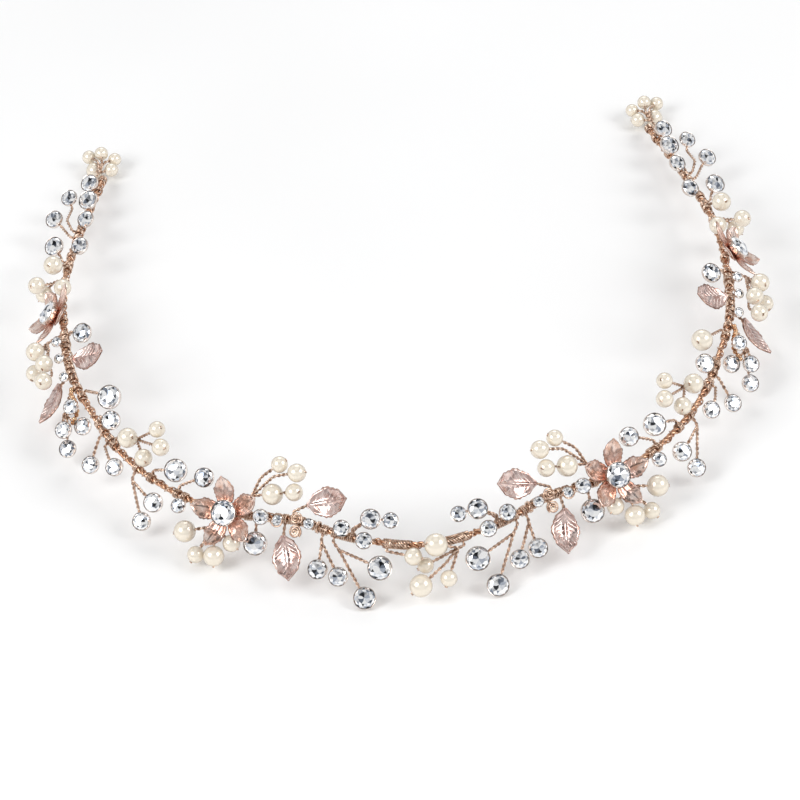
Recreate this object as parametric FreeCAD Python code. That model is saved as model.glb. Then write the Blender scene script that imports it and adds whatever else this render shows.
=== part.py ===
import FreeCAD, Part
import math
import os

# A hair vine: a rose-gold twisted wire bent into a C, with crystals, pearls, leaves and
# flowers on short twisted stems. Millimetres, +Z up, the front centre at -Y, the ends at +Y.
# The vine is charted once, as the half on +X, and mirrored. It rests on its lowest stones.
# LIFT puts those at z = 0, and MIDDLE puts the middle of its depth at y = 0.

V = FreeCAD.Vector

# Driving dimensions
LIFT = 11.41
MIDDLE = 83.34
WIRE_R = 0.7
STEM_R = 0.36
WIRE_BEND = 8.0
STEM_BEND = 0.9
FOOT = 0.34
FORK_R = 0.5
WRAP_GAP = 0.12
WRAP_WALL = 0.34
WRAP_LONG = 1.6
CLEAR = 0.12
CUP_WALL = 0.22
CUP_BACK = 0.3
BAND_TILT = math.radians(40)
STONE_SIDES = 12
SHEET = 0.45
LEAF_LONG = 10.0
LEAF_WIDE = 6.6
LEAF_CURVE_R = 11.0
PETALS = 5
PETAL_REACH = 8.0
PETAL_WIDE = 4.6
PETAL_CURVE_R = 8.0
FLOWER_STONE = 5.0
FLOWER_RISE = 4.6

# Half of the main wire's route: x, y, and the rise of its axis above its height at the front
ROUTE = [
    (3.5, 0.4, 0.0), (9.0, 1.9, 0.0), (16.0, 5.0, 0.0), (21.0, 7.9, 0.2), (26.0, 10.7, 1.3),
    (34.5, 15.2, 0.0), (42.0, 19.0, -1.6), (48.0, 23.0, -1.0), (53.5, 27.5, -0.6),
    (59.0, 33.5, 0.0), (63.2, 40.0, 0.1), (67.0, 48.0, 0.0), (70.0, 56.5, 0.1),
    (72.8, 64.5, 0.0), (74.8, 72.0, 0.0), (76.0, 81.0, 0.1), (76.5, 91.0, 0.0),
    (76.7, 101.0, -0.6), (76.3, 112.0, -1.6), (75.1, 122.0, -2.8), (73.7, 131.0, -4.0),
    (72.0, 140.0, -5.3), (70.2, 149.0, -6.6), (68.2, 157.5, -7.6), (66.9, 163.5, -8.0),
]


def gem(along, out, up, wide, root, via=(), post=False, direct=False):
    """A round crystal: place beside the wire, width, and where its stem leaves the wire."""
    return {"pearl": False, "along": along, "out": out, "up": up, "wide": wide,
            "root": root, "via": via, "post": post, "direct": direct}


def bead(along, out, up, wide, root, via=(), direct=False):
    """A drilled pearl, placed in the same way."""
    return {"pearl": True, "along": along, "out": out, "up": up, "wide": wide,
            "root": root, "via": via, "post": False, "direct": direct}


# Sprigs of the half vine, by the sub-part of their metal and of their jewels.
# fork is where a shared trunk splits, and trunk is what it passes on its way there.
SPRIGS = [
    {"metal": "front_sprig_wires", "jewels": "front_sprig_crystals", "rows": [
        gem(12.6, -1.6, 4.7, 4.1, 16.6),
        gem(8.0, -2.0, 4.8, 3.2, 16.6, via=[(13.8, -4.2, 2.6), (10.0, -4.4, 2.7)], post=True)]},
    {"metal": "front_sprig_wires", "jewels": "front_sprig_crystals", "rows": [
        gem(12.9, 2.3, 1.8, 3.4, 13.0, post=True)]},
    {"metal": "front_sprig_wires", "jewels": "front_sprig_crystals", "rows": [
        gem(18.4, 0.9, 2.7, 3.4, 18.4, post=True)]},
    {"metal": "front_sprig_wires", "jewels": "front_sprig_crystals", "fork": (18.6, 2.5, -2.1),
     "rows": [gem(9.2, 4.4, -3.3, 4.9, 20.4), gem(11.4, 8.2, -9.0, 4.5, 20.4)]},
    {"metal": "front_sprig_wires", "jewels": "front_sprig_crystals", "fork": (22.8, 2.2, -1.8),
     "rows": [gem(17.5, 6.3, -6.2, 3.9, 23.0), gem(22.2, 6.2, -5.9, 4.0, 23.0)]},
    {"metal": "front_spray_wires", "jewels": "front_spray_crystals", "rows": [
        gem(25.9, 1.8, 1.7, 2.2, 26.2, post=True)]},
    {"metal": "front_spray_wires", "jewels": "front_spray_crystals", "rows": [
        gem(37.2, 2.4, 1.8, 3.2, 37.0, post=True)]},
    {"metal": "front_spray_wires", "jewels": "front_spray_crystals", "rows": [
        gem(38.2, 4.3, -4.2, 4.8, 39.3)]},
    {"metal": "front_pearl_wires", "jewels": "front_berry_pearls", "fork": (41.2, -2.2, 3.8),
     "rows": [
         bead(35.8, -1.5, 5.2, 4.7, 41.4),
         bead(35.5, -5.5, 10.4, 3.7, 41.4, via=[(39.6, -4.0, 7.6)]),
         bead(31.0, -4.6, 9.3, 4.1, 41.4, via=[(36.4, -4.0, 8.2)]),
         bead(30.8, -2.1, 5.9, 3.9, 41.4, via=[(35.6, -4.5, 3.3)])]},
    {"metal": "front_pearl_wires", "jewels": "front_drop_pearls", "fork": (48.6, 2.6, -2.2),
     "rows": [
         bead(43.8, 4.7, -4.2, 3.9, 48.8), bead(46.7, 7.3, -6.4, 4.6, 48.8),
         bead(50.7, 7.6, -7.3, 3.8, 48.8), bead(54.3, 5.4, -4.1, 4.9, 48.8)]},
    {"metal": "bend_wires", "jewels": "bend_crystals", "rows": [
        gem(57.2, 3.0, -0.1, 3.0, 57.6, post=True)]},
    {"metal": "bend_wires", "jewels": "bend_crystals", "rows": [gem(53.7, -2.6, 5.4, 4.0, 59.6)]},
    {"metal": "bend_wires", "jewels": "bend_crystals", "rows": [gem(61.3, -1.8, 4.5, 4.7, 67.6)]},
    {"metal": "bend_wires", "jewels": "bend_crystals", "fork": (71.8, 2.2, -2.0),
     "rows": [gem(64.0, 3.4, -2.6, 4.0, 72.4), gem(65.1, 6.4, -6.6, 3.8, 72.4)]},
    {"metal": "outer_berry_wires", "jewels": "outer_berry_pearls", "fork": (78.4, -3.5, 2.6),
     "rows": [
         bead(77.5, -1.1, 4.8, 4.5, 82.6, direct=True), bead(70.0, -4.7, 9.5, 3.7, 82.6),
         bead(66.7, -2.9, 7.3, 3.9, 82.6), bead(70.2, -0.4, 3.9, 4.0, 82.6)]},
    {"metal": "side_sprig_wires", "jewels": "side_sprig_crystals", "rows": [
        gem(77.9, 2.9, -1.7, 3.7, 84.8)]},
    {"metal": "side_sprig_wires", "jewels": "side_sprig_crystals", "rows": [
        gem(85.2, 5.4, -4.9, 3.7, 88.4)]},
    {"metal": "side_sprig_wires", "jewels": "side_sprig_crystals", "rows": [
        gem(86.7, -1.2, 3.9, 4.0, 91.4)]},
    {"metal": "side_sprig_wires", "jewels": "side_sprig_crystals", "fork": (101.0, 4.6, -2.8),
     "trunk": [(104.4, 2.9, -1.0)], "rows": [
         gem(99.9, 3.8, 0.6, 3.2, 106.4), gem(96.1, 2.7, -2.7, 3.7, 106.4),
         gem(97.4, 6.9, -3.1, 3.6, 106.4), gem(94.9, 7.2, -6.6, 3.7, 106.4)]},
    {"metal": "side_spray_wires", "jewels": "side_spray_crystals", "rows": [
        gem(122.4, 2.0, 2.1, 2.2, 122.2, post=True)]},
    {"metal": "side_spray_wires", "jewels": "side_spray_crystals", "rows": [
        gem(116.8, 2.1, 1.5, 2.1, 116.8, post=True)]},
    {"metal": "side_spray_wires", "jewels": "side_spray_crystals", "rows": [
        gem(110.0, 2.2, 1.4, 2.1, 110.0, post=True)]},
    {"metal": "side_spray_wires", "jewels": "side_spray_crystals", "rows": [
        gem(120.2, -4.0, 5.2, 4.2, 125.2)]},
    {"metal": "side_pearl_wires", "jewels": "side_drop_pearls", "fork": (125.8, 4.2, -0.6),
     "rows": [
         bead(121.2, 7.0, 1.0, 4.4, 127.4),
         bead(115.6, 5.6, 1.6, 4.1, 127.4, via=[(120.6, 3.9, 1.5)]),
         bead(118.6, 7.9, -2.9, 4.0, 127.4),
         bead(110.9, 6.7, 0.6, 4.0, 127.4, via=[(120.8, 4.3, -1.5), (115.2, 4.2, -1.6)])]},
    {"metal": "side_pearl_wires", "jewels": "back_drop_pearls", "rows": [
        bead(153.3, 2.6, 3.6, 4.5, 157.0)]},
    {"metal": "side_pearl_wires", "jewels": "back_drop_pearls", "fork": (149.7, 2.7, 0.6),
     "rows": [bead(146.0, 6.0, 2.6, 4.1, 151.0), bead(149.0, 4.9, -1.9, 4.1, 151.0)]},
    {"metal": "side_pearl_wires", "jewels": "back_drop_pearls", "rows": [
        bead(143.4, -0.2, 3.1, 4.1, 148.2)]},
    {"metal": "end_wires", "jewels": "end_crystals", "rows": [gem(163.6, 3.9, 3.0, 4.3, 159.2)]},
    {"metal": "end_wires", "jewels": "end_crystals", "rows": [gem(164.0, -2.2, 2.9, 3.9, 163.4, post=True)]},
    {"metal": "end_wires", "jewels": "end_crystals", "rows": [gem(179.2, 6.8, 2.0, 4.0, 172.6)]},
    {"metal": "end_wires", "jewels": "end_crystals", "rows": [gem(187.8, 4.7, 3.5, 3.7, 175.2, via=[(179.0, 3.6, 1.8)])]},
    {"metal": "end_wires", "jewels": "end_crystals", "rows": [gem(176.8, -1.5, 3.5, 3.8, 178.2, post=True)]},
    {"metal": "end_wires", "jewels": "end_crystals", "rows": [gem(188.0, 0.2, 2.9, 4.4, 188.6, post=True)]},
    {"metal": "end_wires", "jewels": "end_crystals", "rows": [gem(197.5, 2.0, 2.4, 4.1, 197.6, post=True)]},
    {"metal": "end_wires", "jewels": "end_pearls", "fork": (206.2, 1.6, 0.2), "rows": [
        bead(209.0, 3.4, -1.0, 4.1, 202.8),
        bead(212.6, 5.3, 0.7, 3.4, 202.8, via=[(209.2, 2.3, 1.7)]),
        bead(212.2, 2.0, 2.1, 3.4, 202.8, via=[(208.6, 1.2, 1.6)]),
        bead(208.4, -1.0, -0.3, 3.4, 202.8),
        bead(211.9, -1.3, 0.7, 3.2, 202.8, via=[(209.4, 0.9, 1.3)])]},
]
MIXED_GEM = {"metal": "side_sprig_wires", "jewels": "side_sprig_crystals",
             "rows": [gem(91.7, -3.0, 6.4, 5.0, 102.6)]}
MIXED_BEAD = {"metal": "side_sprig_wires", "jewels": "mixed_pearl", "rows": [bead(91.7, -3.0, 6.4, 4.9, 102.6)]}
CENTRE = [
    {"metal": "centre_wires", "jewels": "centre_pearls", "fork": (6.2, 1.7, -1.2), "rows": [
        bead(1.7, 3.0, 1.9, 5.1, 7.6), bead(-0.7, 2.0, -4.2, 3.6, 7.6),
        bead(-1.8, 6.3, -6.2, 5.0, 7.6, via=[(3.0, 3.6, -3.2)]),
        bead(3.2, 5.7, -5.5, 3.7, 7.6)]},
    {"metal": "centre_wires", "jewels": "centre_pearls", "rows": [bead(-2.9, 3.0, -0.8, 3.9, -8.4)]},
]

# Leaves: sub-part, root on the wire, base and tip as (along, out, up)
LEAVES = [
    {"name": "front_leaves", "root": 30.4, "base": (27.2, -1.4, 3.8), "tip": (18.6, -2.6, 8.0)},
    {"name": "front_leaves", "root": 32.3, "base": (31.8, 2.6, -2.6), "tip": (28.2, 8.3, -8.6)},
    {"name": "side_leaves", "root": 114.2, "base": (113.0, -1.0, 3.2), "tip": (107.0, -6.6, 7.4)},
    {"name": "side_leaves", "root": 112.2, "base": (112.4, 2.6, -2.6), "tip": (107.6, 8.6, -8.4)},
]
FLOWERS = [("front_flower", 45.6), ("side_flower", 133.4)]

# Rosettes of coiled wire: place, ring radius, root
ROSETTES = [
    {"along": 28.9, "out": 1.5, "up": 1.9, "ring": 0.85, "root": 28.5},
    {"along": 28.8, "out": 2.9, "up": -0.7, "ring": 0.95, "root": 28.5},
]
ROSETTE_GEM = gem(33.1, 2.4, 1.4, 2.2, 34.2, post=True)
ROSETTE_RING = 1.6


def rounded_path(points, most):
    """Straight runs joined by tangent arcs, which take at most a given length of each run."""
    edges = []
    start = points[0]
    for before, corner, after in zip(points, points[1:], points[2:]):
        into = (corner - before).normalize()
        out = (after - corner).normalize()
        turn = into.getAngle(out)
        if turn < 0.01:
            continue
        cut = min(most, 0.45 * min((corner - before).Length, (after - corner).Length))
        radius = cut / math.tan(turn / 2)
        inward = (out - into).normalize()
        centre = corner + inward * (radius / math.cos(turn / 2))
        first = corner - into * cut
        last = corner + out * cut
        edges.append(Part.LineSegment(start, first).toShape())
        edges.append(Part.Arc(first, centre - inward * radius, last).toShape())
        start = last
    edges.append(Part.LineSegment(start, points[-1]).toShape())
    return edges


def tube(points, radius, most=STEM_BEND):
    """A round wire along rounded runs."""
    path = Part.Wire(rounded_path(points, most))
    heading = (points[1] - points[0]).normalize()
    ring = Part.Wire([Part.Circle(points[0], heading, radius).toShape()])
    return path.makePipeShell([ring], True, False)


RIGHT_ROUTE = [V(x, y - MIDDLE, z + LIFT) for x, y, z in ROUTE]
FULL_ROUTE = [V(-p.x, p.y, p.z) for p in reversed(RIGHT_ROUTE)] + RIGHT_ROUTE
WIRE_EDGES = rounded_path(FULL_ROUTE, WIRE_BEND)
WIRE_LENGTH = sum(edge.Length for edge in WIRE_EDGES)


def on_wire(along):
    """Point on the wire's axis at a length from the front centre, its slope and level heading,
    and the level direction away from the head."""
    wanted = WIRE_LENGTH / 2 + along
    rest = min(max(wanted, 0.001), WIRE_LENGTH - 0.001)
    beyond = wanted - rest
    for edge in WIRE_EDGES:
        if rest <= edge.Length:
            break
        rest -= edge.Length
    spot = edge.getParameterByLength(rest)
    slope = edge.tangentAt(spot)
    level = V(slope.x, slope.y, 0).normalize()
    return edge.valueAt(spot) + slope * beyond, slope, level, V(level.y, -level.x, 0)


def place(along, out, up):
    """A point beside the wire: out from the head, and up from the wire's axis."""
    point, _, _, away = on_wire(along)
    return point + away * out + V(0, 0, up)


def band_face(along):
    """The direction that flowers and leaves look, out of the tilted band round the head."""
    away = on_wire(along)[3]
    return away * math.cos(BAND_TILT) + V(0, 0, math.sin(BAND_TILT))


def stone_facing(along):
    """Stones look out of the band, turned part way to the front of the vine."""
    front = V(0, -math.cos(BAND_TILT), math.sin(BAND_TILT))
    return (band_face(along) * 0.45 + front * 0.55).normalize()


def axes_placement(origin, ahead, facing):
    """Placement of a shape drawn along +X and facing +Z."""
    x_axis = ahead.normalize()
    z_axis = (facing - x_axis * facing.dot(x_axis)).normalize()
    y_axis = z_axis.cross(x_axis)
    return FreeCAD.Placement(FreeCAD.Matrix(
        x_axis.x, y_axis.x, z_axis.x, origin.x,
        x_axis.y, y_axis.y, z_axis.y, origin.y,
        x_axis.z, y_axis.z, z_axis.z, origin.z,
        0, 0, 0, 1))


def seat(shape, centre, facing, ahead):
    """Move a shape drawn about the origin, facing +Z, to its centre."""
    moved = shape.copy()
    across = ahead - facing * ahead.dot(facing)
    moved.Placement = axes_placement(centre, across, facing).multiply(shape.Placement)
    return moved


def cut_stone(radius):
    """A round stone: a flat table, a ring of crown facets, a girdle and a pavilion."""
    rings = [(0.16, -0.58), (1.0, -0.05), (1.0, 0.05), (0.58, 0.36)]
    loops = []
    for wide, high in rings:
        angles = [2 * math.pi * k / STONE_SIDES for k in range(STONE_SIDES)]
        loops.append([V(wide * math.cos(a), wide * math.sin(a), high) * radius for a in angles])
    faces = [Part.Face(Part.makePolygon(loops[0] + loops[0][:1])),
             Part.Face(Part.makePolygon(loops[-1] + loops[-1][:1]))]
    for low, high in zip(loops, loops[1:]):
        for k in range(STONE_SIDES):
            n = (k + 1) % STONE_SIDES
            faces.append(Part.Face(Part.makePolygon([low[k], low[n], high[n], high[k], low[k]])))
    stone = Part.makeSolid(Part.makeShell(faces))
    if stone.Volume < 0:
        stone.reverse()
    return stone


def cup_depth(radius):
    return 0.58 * radius + CLEAR + CUP_BACK


def cup(radius):
    """A thin metal cup round the back of a stone, clear of it by a hair."""
    lip = radius + CLEAR + CUP_WALL
    floor = -0.58 * radius - CLEAR
    profile = [
        (0, floor), (0.16 * radius + 0.29 * CLEAR, floor), (radius + CLEAR, -0.05 * radius - 0.55 * CLEAR),
        (radius + CLEAR, 0.1 * radius), (lip, 0.1 * radius), (lip, -0.3 * radius),
        (0.5 * radius, -cup_depth(radius)), (0, -cup_depth(radius)), (0, floor),
    ]
    outline = Part.makePolygon([V(r, 0, z) for r, z in profile])
    return Part.Face(outline).revolve(V(), V(0, 0, 1), 360)


def wrap(along, long=WRAP_LONG, wall=WRAP_WALL):
    """A sleeve of wound wire round the main wire, where stems start."""
    point, slope, _, _ = on_wire(along)
    foot = point - slope * (long / 2)
    inner = WIRE_R + WRAP_GAP + long ** 2 / 160
    sleeve = Part.makeCylinder(inner + wall, long, foot, slope)
    return sleeve.cut(Part.makeCylinder(inner, long + 2, foot - slope, slope))


def stem_foot(root, target):
    """Two points that lead a stem square off the main wire towards its target."""
    point, slope, _, _ = on_wire(root)
    aim = target - point
    aim = (aim - slope * aim.dot(slope)).normalize()
    return [point + aim * (WIRE_R + FOOT), point + aim * (WIRE_R + 1.2)]


def post(root, target, radius=STEM_R):
    """A short straight stub from the wrap to a cup or a ring that sits over the wire."""
    point, slope, _, _ = on_wire(root)
    aim = target - point
    aim = (aim - slope * aim.dot(slope)).normalize()
    start = point + aim * (WIRE_R + FOOT)
    return Part.makeCylinder(radius, (target - start).Length, start, target - start)


def fuse(shapes):
    """One soldered piece."""
    whole = shapes[0].multiFuse(shapes[1:]) if len(shapes) > 1 else shapes[0]
    if len(whole.Solids) != 1:
        print("not one piece", len(whole.Solids), [s.CenterOfMass for s in whole.Solids])
    return whole.Solids[0] if len(whole.Solids) == 1 else whole


def crystal(row, lead):
    """A stone, and its metal: the cup, and a stem to the cup's edge or a post to its back."""
    centre = place(row["along"], row["out"], row["up"])
    radius = row["wide"] / 2
    facing = stone_facing(row["along"])
    ahead = on_wire(row["along"])[2]
    metal = [seat(cup(radius), centre, facing, ahead)]
    if row["post"]:
        back = centre - facing * (cup_depth(radius) + 0.16)
        metal.append(Part.makeSphere(STEM_R + 0.04, back))
        metal.append(tube(lead + [back], STEM_R) if row["via"] else post(row["root"], back))
    else:
        level = centre - facing * 0.55
        come = level - lead[-1]
        come = (come - facing * come.dot(facing)).normalize()
        end = level - come * (radius + 0.1)
        near = end - come * 1.0
        run = lead + [near, end] if (near - lead[-1]).Length > 0.8 else [lead[0], end]
        metal.append(tube(run, STEM_R))
    return seat(cut_stone(radius), centre, facing, ahead), metal


def drilled_ball(radius):
    """A round pearl with a hole along Z."""
    bore = STEM_R + CLEAR
    half_bore = math.sqrt(radius ** 2 - bore ** 2)
    wall = Part.LineSegment(V(bore, 0, -half_bore), V(bore, 0, half_bore)).toShape()
    skin = Part.Arc(V(bore, 0, half_bore), V(radius, 0, 0), V(bore, 0, -half_bore)).toShape()
    ball = Part.Face(Part.Wire([wall, skin])).revolve(V(), V(0, 0, 1), 360)
    if ball.Volume < 0:
        ball.reverse()
    return ball


def pearl(row, lead):
    """A drilled pearl and the stem through it, which shows as a small tip on the far side."""
    centre = place(row["along"], row["out"], row["up"])
    radius = row["wide"] / 2
    come = (centre - lead[-1]).normalize()
    tip = centre + come * (radius + 0.3)
    return seat(drilled_ball(radius), centre, come, on_wire(row["along"])[2]), [tube(lead + [tip], STEM_R)]


def sprig(chart):
    """Jewels of one sprig, loose, and the one soldered piece that carries them."""
    rows = chart["rows"]
    jewels = []
    metal = [wrap(rows[0]["root"])]
    split = None
    if "fork" in chart:
        split = place(*chart["fork"])
        trunk = [place(*spot) for spot in chart.get("trunk", [])]
        lead = stem_foot(rows[0]["root"], trunk[0] if trunk else split)
        run = lead + trunk + [split]
        if (split - lead[-1]).Length < 0.8:
            run = [lead[0], split]
        metal.append(tube(run, STEM_R))
        metal.append(Part.makeSphere(FORK_R, split, V(0.35, 0.5, 0.8)))
    for row in rows:
        via = [place(*spot) for spot in row["via"]]
        centre = place(row["along"], row["out"], row["up"])
        if split is not None and not row["direct"]:
            lead = [split] + via
        else:
            lead = stem_foot(row["root"], via[0] if via else centre) + via
        jewel, parts = (pearl if row["pearl"] else crystal)(row, lead)
        jewels.append(jewel)
        metal += parts
    return jewels, fuse(metal)


def bowed_sheet(outline, curve_radius, lowest, tall=6.0):
    """A thin sheet with a flat outline, bowed like a piece of a ball, lowest at a given length."""
    prism = Part.Face(outline).extrude(V(0, 0, tall))
    middle = V(lowest, 0, curve_radius + SHEET)
    ball = Part.makeSphere(curve_radius + SHEET, middle)
    return prism.common(ball.cut(Part.makeSphere(curve_radius, middle)))


def leaf_outline(long, stations):
    """A closed outline of scalloped arcs: stations along the leaf and half width, mirrored."""
    edges = []
    for side in (1, -1):
        spots = [V(share * long, side * half, 0) for share, half in stations]
        for low, high in zip(spots, spots[1:]):
            middle = (low + high) * 0.5
            bulge = V(high.y - low.y, low.x - high.x, 0).normalize() * (-side * 0.09 * (high - low).Length)
            edges.append(Part.Arc(low, middle + bulge, high).toShape())
    base = stations[0][1]
    edges.append(Part.LineSegment(V(stations[0][0] * long, base, 0),
                                  V(stations[0][0] * long, -base, 0)).toShape())
    return Part.Wire(Part.__sortEdges__(edges))


def leaf(row):
    """A stamped leaf with a raised midrib, soldered to its stem and wrap."""
    half = LEAF_WIDE / 2
    stations = [(0.0, 0.3), (0.2, 0.7 * half), (0.48, half), (0.76, 0.72 * half), (1.0, 0.0)]
    blade = bowed_sheet(leaf_outline(LEAF_LONG, stations), LEAF_CURVE_R, 0.45 * LEAF_LONG)
    base = place(*row["base"])
    tip = place(*row["tip"])
    facing = band_face(row["root"])
    aim = (tip - base).normalize()
    blade.Placement = axes_placement(base - facing * 0.6, V(aim), facing)
    foot = stem_foot(row["root"], base)
    stem = tube([foot[0], foot[1], base - aim * 0.4, base + aim * 1.2], STEM_R)
    return fuse([wrap(row["root"]), stem, blade])


def flower(root):
    """Five bowed petals round a cup, soldered to a post and wrap, and the stone in the cup."""
    radius = FLOWER_STONE / 2
    facing = band_face(root)
    centre = on_wire(root)[0] + facing * FLOWER_RISE
    ahead = on_wire(root)[2]
    deck = -cup_depth(radius)
    half = PETAL_WIDE / 2
    stations = [(0.0, 0.9), (0.35, 0.86 * half), (0.62, half), (0.84, 0.62 * half), (1.0, 0.0)]
    parts = [cup(radius), Part.makeCylinder(1.7, 0.5, V(0, 0, deck - 0.3))]
    for k in range(PETALS):
        petal = bowed_sheet(leaf_outline(PETAL_REACH - 1.0, stations), PETAL_CURVE_R, 1.5)
        petal.translate(V(1.0, 0, deck - 0.4))
        petal.rotate(V(), V(0, 0, 1), 360 * k / PETALS)
        parts.append(petal)
    head = [seat(part, centre, facing, ahead) for part in parts]
    head.append(wrap(root))
    head.append(post(root, centre + facing * deck, 0.6))
    return fuse(head), seat(cut_stone(radius), centre, facing, ahead)


def rosette(row):
    """A little knot of coiled wire on a post."""
    centre = place(row["along"], row["out"], row["up"])
    facing = band_face(row["along"])
    parts = [Part.makeTorus(row["ring"], 0.36), Part.makeSphere(0.55)]
    knot = [seat(part, centre, facing, on_wire(row["along"])[2]) for part in parts]
    return knot + [Part.makeCylinder(0.3, 2 * row["ring"], centre - on_wire(row["along"])[2] * row["ring"],
                                     on_wire(row["along"])[2]), post(row["root"], centre)]


def save(name, solids):
    """Write one sub-part, which may hold several loose solids."""
    shape = solids[0] if len(solids) == 1 else Part.makeCompound(solids)
    shape.exportStep("parts/" + name + ".step")
    print(name, len(shape.Solids), "solids", round(shape.Volume, 2), "mm3 valid", shape.isValid())


os.makedirs("parts", exist_ok=True)

main_wire = tube(FULL_ROUTE, WIRE_R, WIRE_BEND)
print("wire length", round(WIRE_LENGTH, 1), "volume share", main_wire.Volume / (math.pi * WIRE_R ** 2 * WIRE_LENGTH))
save("main_wire", [main_wire])

half = {}
for chart in SPRIGS:
    jewels, metal = sprig(chart)
    half.setdefault(chart["jewels"], []).extend(jewels)
    half.setdefault(chart["metal"], []).append(metal)

stone, metal = crystal(ROSETTE_GEM, [])
frame = seat(Part.makeTorus(ROSETTE_RING, 0.3), place(33.1, 2.4, 1.4) - band_face(33.1) * 0.3,
             band_face(33.1), on_wire(33.1)[2])
half["front_spray_crystals"].append(stone)
half["front_spray_wires"].append(fuse(metal + [frame, wrap(ROSETTE_GEM["root"])]))
half["front_spray_wires"].append(fuse([wrap(28.5)] + rosette(ROSETTES[0]) + rosette(ROSETTES[1])))
half["front_spray_wires"].append(wrap(24.6, 0.8, 0.55))
for along in (119.5, 123.7):
    half["side_spray_wires"].append(wrap(along, 0.7, 0.5))
for row in LEAVES:
    half.setdefault(row["name"], []).append(leaf(row))
for name, root in FLOWERS:
    metal, stone = flower(root)
    half[name] = [metal]
    half[name + "_crystal"] = [stone]

sides = {"right": {}, "left": {}}
for name, solids in half.items():
    sides["right"][name] = list(solids)
    sides["left"][name] = [solid.mirror(V(), V(1, 0, 0)) for solid in solids]
jewels, metal = sprig(MIXED_BEAD)
sides["right"]["mixed_pearl"] = jewels
sides["right"]["side_sprig_wires"].append(metal)
jewels, metal = sprig(MIXED_GEM)
sides["left"]["side_sprig_crystals"] += [jewel.mirror(V(), V(1, 0, 0)) for jewel in jewels]
sides["left"]["side_sprig_wires"].append(metal.mirror(V(), V(1, 0, 0)))
for side, nodes in sides.items():
    for name, solids in nodes.items():
        save(name + "_" + side, solids)

centre = {}
for chart in CENTRE:
    jewels, metal = sprig(chart)
    centre.setdefault(chart["jewels"], []).extend(jewels)
    centre.setdefault(chart["metal"], []).append(metal)
centre["centre_wires"].append(wrap(-5.7, 2.6, 0.3))
centre["centre_wires"].append(wrap(5.1, 2.8, 0.3))
for name, solids in centre.items():
    save(name, solids)
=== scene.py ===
# %% [markdown]
# A hair vine is a headpiece of wire: a twisted rope bent into a C round the head, with small
# twisted sprigs that carry crystals and pearls, and with stamped leaves and flowers. This lesson
# gives a plain CAD frame its real surfaces. The frame holds plain solids for the wires, stones,
# pearls, leaves and flowers, and none of them is changed. New pieces are modelled where the solids
# stand, and each of them then takes the place of its CAD node in the picture.

# %% frame
import math
import random
import bpy
from mathutils import Matrix, Vector


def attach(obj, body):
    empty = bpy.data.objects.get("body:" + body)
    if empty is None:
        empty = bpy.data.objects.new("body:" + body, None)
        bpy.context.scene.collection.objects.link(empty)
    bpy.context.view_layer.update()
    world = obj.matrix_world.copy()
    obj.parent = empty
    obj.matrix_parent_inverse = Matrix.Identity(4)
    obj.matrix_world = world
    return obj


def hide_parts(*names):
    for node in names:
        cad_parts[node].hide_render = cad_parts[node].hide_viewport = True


# Blender measures in metres, and the chart is in millimetres
MM = 0.001
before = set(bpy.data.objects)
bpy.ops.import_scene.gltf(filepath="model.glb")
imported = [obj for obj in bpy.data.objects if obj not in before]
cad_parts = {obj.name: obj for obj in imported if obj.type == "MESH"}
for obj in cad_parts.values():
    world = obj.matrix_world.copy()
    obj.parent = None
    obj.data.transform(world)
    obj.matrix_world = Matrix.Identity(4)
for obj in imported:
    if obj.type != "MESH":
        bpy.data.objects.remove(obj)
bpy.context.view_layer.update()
print("nodes", len(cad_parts))

# %% [markdown]
# The driving dimensions are those of the CAD source, in millimetres. They could be measured off
# the loaded meshes, but named numbers show what drives the shape, and both files can be read
# side by side.

# %% dimensions
# Height of the wire's axis at the front, and how far the front lies before the origin
LIFT = 11.41
MIDDLE = 83.34
WIRE_R = 0.7
# The most that a rounded corner takes from a run, on the main wire and on a stem
WIRE_BEND = 8.0
STEM_BEND = 0.9
# Space between parts that touch on the real piece
CLEAR = 0.12
CUP_BACK = 0.3
# Flowers and leaves look out of the C and this far up
BAND_TILT = math.radians(40)
LEAF_LONG = 10.0
LEAF_WIDE = 6.6
PETALS = 5
PETAL_START = 1.0
PETAL_REACH = 8.0
PETAL_WIDE = 4.6
FLOWER_STONE = 5.0
FLOWER_RISE = 4.6
UP = Vector((0, 0, 1))
print("rope", 2 * WIRE_R, "mm thick, its axis", LIFT, "mm above the floor at the front")

# %% [markdown]
# The chart holds the right half of the vine, because the left half mirrors it. The wire comes
# first. It could be a free curve drawn by eye, but corners with known places can be shared with
# the CAD source to the last digit.

# %% chart of the wire
# Half of the main wire's route: x, y, and the rise of its axis above its height at the front
ROUTE = [
    (3.5, 0.4, 0.0), (9.0, 1.9, 0.0), (16.0, 5.0, 0.0), (21.0, 7.9, 0.2), (26.0, 10.7, 1.3),
    (34.5, 15.2, 0.0), (42.0, 19.0, -1.6), (48.0, 23.0, -1.0), (53.5, 27.5, -0.6),
    (59.0, 33.5, 0.0), (63.2, 40.0, 0.1), (67.0, 48.0, 0.0), (70.0, 56.5, 0.1),
    (72.8, 64.5, 0.0), (74.8, 72.0, 0.0), (76.0, 81.0, 0.1), (76.5, 91.0, 0.0),
    (76.7, 101.0, -0.6), (76.3, 112.0, -1.6), (75.1, 122.0, -2.8), (73.7, 131.0, -4.0),
    (72.0, 140.0, -5.3), (70.2, 149.0, -6.6), (68.2, 157.5, -7.6), (66.9, 163.5, -8.0),
]
print("corners of the half route", len(ROUTE))

# %% [markdown]
# A jewel is charted as a maker thinks of it: so far along the wire from the centre, so far out
# and up from it, so wide, and wound on at its root. World coordinates would do as well, but each
# change to the bend of the wire would then move every number.


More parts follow.
